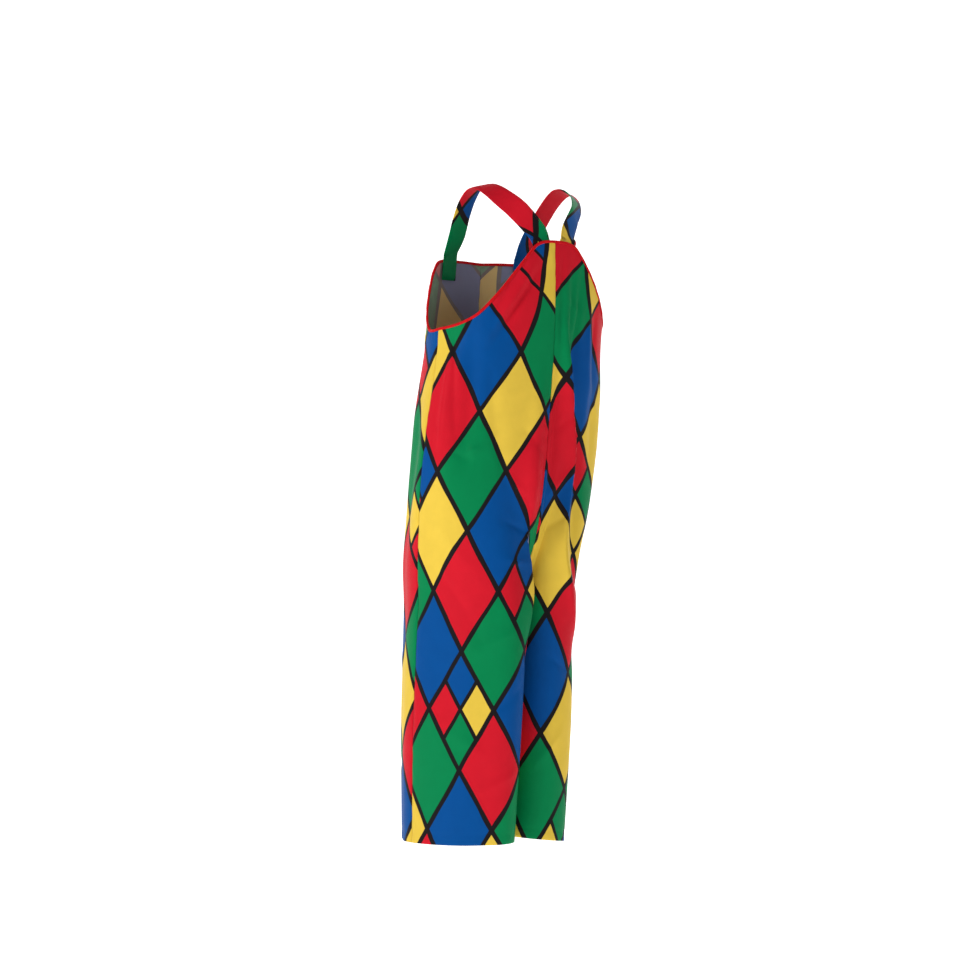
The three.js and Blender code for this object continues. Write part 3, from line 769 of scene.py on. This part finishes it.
def harlequin(name, fade):
    """Cloth printed with outlined lozenges, some of them split in four; fade pales the reverse."""
    g = Graph(name)
    uv = g.node("ShaderNodeUVMap", uv_map="cloth").outputs[0]
    wobble = g.noise(uv, 7, 1)
    shaken = g.node("ShaderNodeVectorMath", operation="MULTIPLY_ADD")
    g.put(shaken.inputs[0], wobble.outputs["Color"])
    shaken.inputs[1].default_value = (HAND_WOBBLE, HAND_WOBBLE, 0)
    g.put(shaken.inputs[2], uv)
    place = g.node("ShaderNodeSeparateXYZ")
    g.put(place.inputs[0], shaken.outputs[0])
    across = g.math("DIVIDE", place.outputs["X"], LOZENGE_WIDTH)
    along = g.math("DIVIDE", place.outputs["Y"], LOZENGE_HEIGHT)
    p = g.math("ADD", across, along)
    q = g.math("SUBTRACT", across, along)
    column, row = g.math("FLOOR", p), g.math("FLOOR", q)
    p_in, q_in = g.math("SUBTRACT", p, column), g.math("SUBTRACT", q, row)
    cell = g.node("ShaderNodeCombineXYZ")
    g.put(cell.inputs["X"], column)
    g.put(cell.inputs["Y"], row)
    dice = g.node("ShaderNodeTexWhiteNoise", noise_dimensions="2D")
    g.put(dice.inputs["Vector"], cell.outputs[0])
    split = g.math("LESS_THAN", dice.outputs["Value"], SPLIT_SHARE)
    slope = 1 / math.hypot(1 / LOZENGE_WIDTH, 1 / LOZENGE_HEIGHT)

    def to_border(value):
        return g.math("MINIMUM", value, g.math("SUBTRACT", 1, value))

    border = g.math("MULTIPLY", g.math("MINIMUM", to_border(p_in), to_border(q_in)), slope)
    p_half = g.math("ABSOLUTE", g.math("SUBTRACT", p_in, 0.5))
    q_half = g.math("ABSOLUTE", g.math("SUBTRACT", q_in, 0.5))
    inner = g.math("MULTIPLY", g.math("MINIMUM", p_half, q_half), slope)
    # Where a lozenge isn't split, its inner lines lie a metre away, out of reach.
    inner = g.math("ADD", inner, g.math("SUBTRACT", 1, split))
    nearest = g.math("MINIMUM", border, g.math("ADD", inner, SPLIT_THINNER))
    width = g.noise(uv, 23, 1)
    waver = g.math("MULTIPLY", g.math("SUBTRACT", width.outputs[0], 0.5), OUTLINE_WAVER)
    nearest = g.math("ADD", nearest, waver)
    outline = g.band(nearest, OUTLINE_HALF - OUTLINE_SOFT, OUTLINE_HALF + OUTLINE_SOFT)
    quarter = g.math("ADD", g.math("GREATER_THAN", p_in, 0.5),
                     g.math("MULTIPLY", g.math("GREATER_THAN", q_in, 0.5), 2))
    number = g.math("ADD", g.math("ADD", column, g.math("MULTIPLY", row, 2)),
                    g.math("MULTIPLY", quarter, split))
    number = g.math("FLOORED_MODULO", number, 4)
    ramp = g.node("ShaderNodeValToRGB")
    ramp.color_ramp.interpolation = "CONSTANT"
    for position, colour in ((0.25, YELLOW), (0.5, BLUE), (0.75, GREEN)):
        ramp.color_ramp.elements.new(position).color = colour
    ramp.color_ramp.elements[0].color = RED
    ramp.color_ramp.elements[-1].color = GREEN
    g.put(ramp.inputs[0], g.math("DIVIDE", g.math("ADD", number, 0.5), 4))
    tone = g.noise(uv, 40, 3)
    colour = g.mix(outline, ramp.outputs[0], OUTLINE)
    colour = g.mix(g.math("MULTIPLY", tone.outputs[0], TONE), colour, linear(0, 0, 0))
    colour = g.mix(fade, colour, PALE)
    g.put(g.shader.inputs["Base Color"], colour)
    weave_bump(g, uv, strength=0.25)
    finish_cloth(g, roughness=0.52)
    return g.material


THREADS = 9000  # radians of the weave's wave in a metre of cloth
BUMP_HEIGHT = 0.0004


def weave_bump(g, uv, strength):
    """Fine threads across and along the cloth, with a faint unevenness."""
    place = g.node("ShaderNodeSeparateXYZ")
    g.put(place.inputs[0], uv)
    threads = [g.math("SINE", g.math("MULTIPLY", place.outputs[i], THREADS)) for i in (0, 1)]
    weave = g.math("MULTIPLY", threads[0], threads[1])
    uneven = g.noise(uv, 60, 3)
    bump = g.node("ShaderNodeBump")
    bump.inputs["Strength"].default_value = strength
    bump.inputs["Distance"].default_value = BUMP_HEIGHT
    g.put(bump.inputs["Height"], g.math("ADD", g.math("MULTIPLY", weave, 0.25), uneven.outputs[0]))
    g.put(g.shader.inputs["Normal"], bump.outputs[0])


def finish_cloth(g, roughness):
    """The soft gloss of the cloth."""
    g.shader.inputs["Roughness"].default_value = roughness
    g.shader.inputs["Specular IOR Level"].default_value = 0.06
    g.shader.inputs["Sheen Weight"].default_value = 0.01
    g.shader.inputs["Sheen Roughness"].default_value = 0.4


def plain_cloth(name, colour, roughness):
    """Woven cloth of one dye, a little uneven in tone."""
    g = Graph(name)
    uv = g.node("ShaderNodeUVMap", uv_map="cloth").outputs[0]
    tone = g.noise(uv, 90, 3)
    darker = tuple(0.6 * c for c in colour[:3]) + (1,)
    dyed = g.mix(g.math("MULTIPLY", tone.outputs[0], 0.3), colour, darker)
    g.put(g.shader.inputs["Base Color"], dyed)
    weave_bump(g, uv, strength=0.4)
    finish_cloth(g, roughness)
    return g.material


def plain_colour(name, colour, roughness):
    """One even colour, for thread."""
    g = Graph(name)
    g.shader.inputs["Base Color"].default_value = colour
    g.shader.inputs["Roughness"].default_value = roughness
    return g.material


cloth_face = harlequin("print_cloth_face", fade=0.0)
cloth_reverse = harlequin("print_cloth_reverse", fade=0.3)
tape = plain_cloth("edge_tape_face", TAPE_RED, roughness=0.5)
print_thread = plain_colour("print_thread", linear(110, 24, 30), roughness=0.5)
tape_thread = plain_colour("tape_thread", linear(176, 10, 20), roughness=0.45)

# Where on the print each panel is cut, in metres, so that the lozenges break at the seams
PRINT_SHIFTS = {
    ("left", "back"): (0.031, 0.072),
    ("right", "back"): (0.087, 0.013),
    ("left", "front"): (0.064, 0.151),
    ("right", "front"): (0.012, 0.103),
}
for (half, side), shift in PRINT_SHIFTS.items():
    piece, area, width, length = make_panel(half, side, shift)

stitch_lines = []
for half, shift in (("left", (0.4, 0.05)), ("right", (0.75, 0.16))):
    piece, rows, looks, length = make_strap(half, shift)
    stitch_lines += [(row, looks[:, 0]) for row in rows]
make_stitches("strap_stitches", stitch_lines, print_thread)

hem_lines = []
for half, side in PRINT_SHIFTS:
    rounds, _, top = panel_grid(half, side, HEM_CELLS, 1)
    drops = hem_drop(half, rounds[0]) - HEM_DEPTH
    hem_lines.append(panel_surface(half, side, rounds[0], drops, top[0]))
make_stitches("hem_stitches", hem_lines, print_thread)

for side in ("back", "front"):
    piece, line, looks, length = make_binding(side)
    make_stitches(f"{side}_binding_stitches", [(line, looks)], tape_thread)

# The camera stands behind the garment, towards its left side, level with the seat. Places in metres.
CAMERA_TURN = math.radians(42)
CAMERA_DISTANCE = 5.0
FRAME_WIDTH = 970 * 0.0017  # the picture's pixels, each 1.7 mm wide at the garment
AIM_ASIDE, AIM_HEIGHT = -0.0663, -0.5015
SENSOR = 36
towards_camera = Vector((math.sin(CAMERA_TURN), math.cos(CAMERA_TURN), 0))
rightwards = Vector((-math.cos(CAMERA_TURN), math.sin(CAMERA_TURN), 0))
aim = rightwards * AIM_ASIDE + Vector((0, 0, AIM_HEIGHT))
camera_data = bpy.data.cameras.new("camera")
camera = bpy.data.objects.new("camera", camera_data)
camera.location = aim + towards_camera * CAMERA_DISTANCE
camera.rotation_euler = (math.pi / 2, 0, math.pi - CAMERA_TURN)
camera_data.sensor_width = SENSOR
camera_data.lens = SENSOR * CAMERA_DISTANCE / FRAME_WIDTH
bpy.context.scene.collection.objects.link(camera)
bpy.context.scene.camera = camera

# A pale floor that curves up into a backdrop. Ends are distances from the aim towards the camera.
FLOOR_Z = -1.27
FLOOR_FRONT, FLOOR_BACK = 7.0, -3.0
BEND_RADIUS, BEND_STEPS = 2.5, 24
BACKDROP_TOP = 7.0
BACKDROP_HALF = 9.0


def backdrop_paint():
    """White paper that glows a little, so that it stays bright."""
    g = Graph("backdrop")
    g.shader.inputs["Base Color"].default_value = (0.8, 0.8, 0.8, 1)
    g.shader.inputs["Roughness"].default_value = 0.9
    g.shader.inputs["Emission Color"].default_value = (1, 1, 1, 1)
    g.shader.inputs["Emission Strength"].default_value = 0.85
    return g.material


def make_backdrop():
    """The floor, its bend and the upright part behind it, as one strip."""
    profile = [(FLOOR_FRONT, 0), (FLOOR_BACK, 0)]
    for step in range(1, BEND_STEPS + 1):
        angle = math.pi / 2 * step / BEND_STEPS
        profile.append((FLOOR_BACK - BEND_RADIUS * math.sin(angle), BEND_RADIUS * (1 - math.cos(angle))))
    profile.append((FLOOR_BACK - BEND_RADIUS, BACKDROP_TOP))
    vertices = []
    for along, up in profile:
        for across in (-BACKDROP_HALF, BACKDROP_HALF):
            spot = aim + towards_camera * along + rightwards * across
            vertices.append((spot.x, spot.y, FLOOR_Z + up))
    faces = [(2 * i, 2 * i + 1, 2 * i + 3, 2 * i + 2) for i in range(len(profile) - 1)]
    mesh = bpy.data.meshes.new("backdrop")
    mesh.from_pydata(vertices, [], faces)
    mesh.polygons.foreach_set("use_smooth", [True] * len(mesh.polygons))
    mesh.materials.append(backdrop_paint())
    obj = bpy.data.objects.new("backdrop", mesh)
    bpy.context.scene.collection.objects.link(obj)
    return obj


make_backdrop()


LIT_HEIGHT = -0.5  # the lights look at this height


def area_light(name, sideways, up, near, size, power):
    """A round lamp, placed from the aim: to the right, upwards and towards the camera."""
    data = bpy.data.lights.new(name, "AREA")
    data.shape = "DISK"
    data.size = size
    data.energy = power
    light = bpy.data.objects.new(name, data)
    light.location = aim + rightwards * sideways + towards_camera * near + Vector((0, 0, up))
    target = Vector((aim.x, aim.y, LIT_HEIGHT))
    light.rotation_euler = (target - light.location).to_track_quat("-Z", "Y").to_euler()
    bpy.context.scene.collection.objects.link(light)


area_light("key", sideways=-2.1, up=1.4, near=2.2, size=1.0, power=50)
area_light("fill", sideways=2.6, up=0.8, near=2.4, size=2.4, power=3)
area_light("rim", sideways=1.2, up=2.0, near=-2.0, size=1.6, power=14)


def studio_world(strength):
    """Even white light of the given strength, which the camera sees as plain white."""
    world = bpy.data.worlds.new("studio")
    world.use_nodes = True
    nodes, links = world.node_tree.nodes, world.node_tree.links
    around = nodes["Background"]
    seen = nodes.new("ShaderNodeBackground")
    for background, power in ((around, strength), (seen, 1)):
        background.inputs["Color"].default_value = (1, 1, 1, 1)
        background.inputs["Strength"].default_value = power
    mixed = nodes.new("ShaderNodeMixShader")
    links.new(nodes.new("ShaderNodeLightPath").outputs["Is Camera Ray"], mixed.inputs[0])
    links.new(around.outputs[0], mixed.inputs[1])
    links.new(seen.outputs[0], mixed.inputs[2])
    links.new(mixed.outputs[0], nodes["World Output"].inputs["Surface"])
    bpy.context.scene.world = world


studio_world(0.27)
bpy.context.scene.view_settings.view_transform = "Standard"
